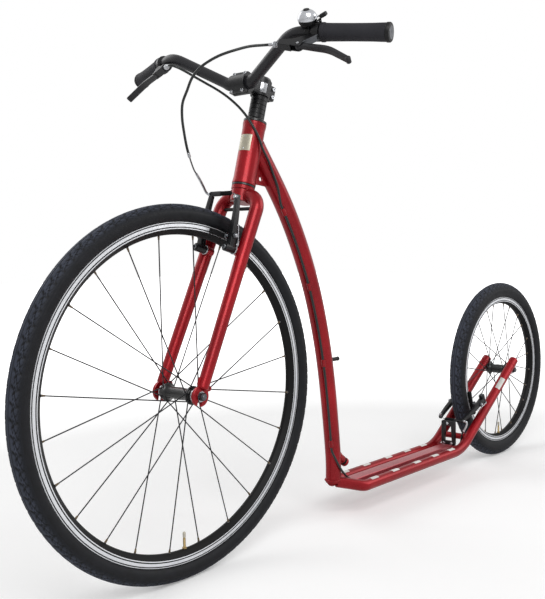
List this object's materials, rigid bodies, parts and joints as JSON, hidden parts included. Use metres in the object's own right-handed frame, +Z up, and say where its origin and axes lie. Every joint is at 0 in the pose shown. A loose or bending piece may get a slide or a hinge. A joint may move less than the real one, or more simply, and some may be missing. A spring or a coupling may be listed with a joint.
{
  "type": "kick bike",
  "caption": "Adult kick bike with a large front wheel, a small rear wheel, a low tube deck, swept handlebar, rim brakes and a bell.",
  "frame": {"origin": "on the floor below the middle of the bounding box", "axes": "+X forward, +Y to the rider's left, +Z up"},
  "size_m": [1.81, 0.6908, 1.0352],
  "materials": {
    "frame_red": "metallic gloss",
    "black_metal": "satin",
    "black_plastic": "matt",
    "black_rubber": "matt",
    "tyre_rubber": "matt",
    "steel": "brushed",
    "bell_metal": "gloss",
    "valve_brass": "bright",
    "cable_cover": "gloss"
  },
  "bodies": {
    "frame": {"head_tube": "frame_red", "headset_lower": "black_metal", "headset_upper": "black_metal", "down_tube": "frame_red", "head_gusset": "frame_red", "tube_peg": "black_plastic", "tube_plug": "frame_red", "deck_tube_left": "frame_red", "deck_tube_right": "frame_red", "deck_rail": "frame_red", "rear_cross_plate": "frame_red", "stay_bridge": "frame_red", "rear_cable_bracket": "black_metal", "rear_cable_lower": "cable_cover", "rear_axle": "steel", "rear_brake_noodle": "steel"},
    "steering": {"fork_crown": "frame_red", "fork_bridge_rod": "black_metal", "fork_leg_left": "frame_red", "fork_leg_right": "frame_red", "spacer_stack": "black_metal", "stem_body": "black_metal", "stem_faceplate": "black_metal", "stem_cap": "black_metal", "handlebar": "black_metal", "grip_left": "black_rubber", "grip_right": "black_rubber", "lever_bracket_left": "black_metal", "lever_bracket_right": "black_metal", "barrel_adjuster_left": "black_plastic", "barrel_adjuster_right": "black_plastic", "bell_clamp": "black_plastic", "bell_dome": "bell_metal", "front_cable": "cable_cover", "rear_cable_upper": "cable_cover", "front_axle": "steel", "front_brake_noodle": "steel"},
    "front_wheel": {"front_tyre": "tyre_rubber", "front_rim": "black_metal", "front_hub": "black_metal", "front_valve": "valve_brass"},
    "rear_wheel": {"rear_tyre": "tyre_rubber", "rear_rim": "black_metal", "rear_hub": "black_metal", "rear_valve": "valve_brass"},
    "left_lever": {"lever_blade_left": "black_metal"},
    "right_lever": {"lever_blade_right": "black_metal"},
    "front_left_arm": {"front_brake_arm_left": "black_metal", "front_brake_pad_left": "black_rubber"},
    "front_right_arm": {"front_brake_arm_right": "black_metal", "front_brake_pad_right": "black_rubber", "front_brake_link": "black_metal", "front_brake_boot": "black_rubber"},
    "rear_right_arm": {"rear_brake_arm_right": "black_metal", "rear_brake_pad_right": "black_rubber"},
    "rear_left_arm": {"rear_brake_arm_left": "black_metal", "rear_brake_pad_left": "black_rubber", "rear_brake_link": "black_metal", "rear_brake_boot": "black_rubber"},
    "bell_hammer": {"bell_striker": "black_plastic"}
  },
  "joints": [
    {"name": "steering", "type": "hinge", "parent": "frame", "child": "steering", "pos_m": [0.49396, 0, 0.3325], "axis": [-0.2756, 0, 0.9613], "range_deg": [-60, 60], "deforming": ["rear_cable_upper"]},
    {"name": "front_wheel_spin", "type": "hinge", "parent": "steering", "child": "front_wheel", "pos_m": [0.555, 0, 0.35], "axis": [0, 1, 0], "continuous": true},
    {"name": "rear_wheel_spin", "type": "hinge", "parent": "frame", "child": "rear_wheel", "pos_m": [-0.655, 0, 0.25], "axis": [0, 1, 0], "continuous": true},
    {"name": "left_brake_lever", "type": "hinge", "parent": "steering", "child": "left_lever", "pos_m": [0.42548, 0.19262, 0.97433], "axis": [0.6926, 0.303, 0.6546], "range_deg": [0, 18], "stiffness_Nm_per_rad": 1, "springref_deg": -8.59},
    {"name": "right_brake_lever", "type": "hinge", "parent": "steering", "child": "right_lever", "pos_m": [0.42548, -0.19262, 0.97433], "axis": [-0.6926, 0.303, -0.6546], "range_deg": [0, 18], "stiffness_Nm_per_rad": 1, "springref_deg": -8.59},
    {"name": "front_left_brake_arm", "type": "hinge", "parent": "steering", "child": "front_left_arm", "pos_m": [0.44568, 0.04, 0.61332], "axis": [0.9613, 0, 0.2756], "range_deg": [0, 3]},
    {"name": "front_right_brake_arm", "type": "hinge", "parent": "steering", "child": "front_right_arm", "pos_m": [0.44568, -0.04, 0.61332], "axis": [-0.9613, 0, -0.2756], "range_deg": [0, 3]},
    {"name": "rear_right_brake_arm", "type": "hinge", "parent": "frame", "child": "rear_right_arm", "pos_m": [-0.49653, -0.04, 0.17506], "axis": [0.4067, 0, 0.9135], "range_deg": [0, 3]},
    {"name": "rear_left_brake_arm", "type": "hinge", "parent": "frame", "child": "rear_left_arm", "pos_m": [-0.49653, 0.04, 0.17506], "axis": [-0.4067, 0, -0.9135], "range_deg": [0, 3]},
    {"name": "bell_hammer", "type": "hinge", "parent": "steering", "child": "bell_hammer", "pos_m": [0.40149, 0.2216, 1.01802], "axis": [-0.8104, -0.2256, 0.5407], "range_deg": [0, 25], "stiffness_Nm_per_rad": 0.01, "springref_deg": -8.59}
  ],
  "couplings": [
    {"joint": "front_left_brake_arm", "follows": "left_brake_lever", "ratio": 0.1666},
    {"joint": "front_right_brake_arm", "follows": "left_brake_lever", "ratio": 0.1666},
    {"joint": "rear_left_brake_arm", "follows": "right_brake_lever", "ratio": 0.1666},
    {"joint": "rear_right_brake_arm", "follows": "right_brake_lever", "ratio": 0.1666}
  ]
}
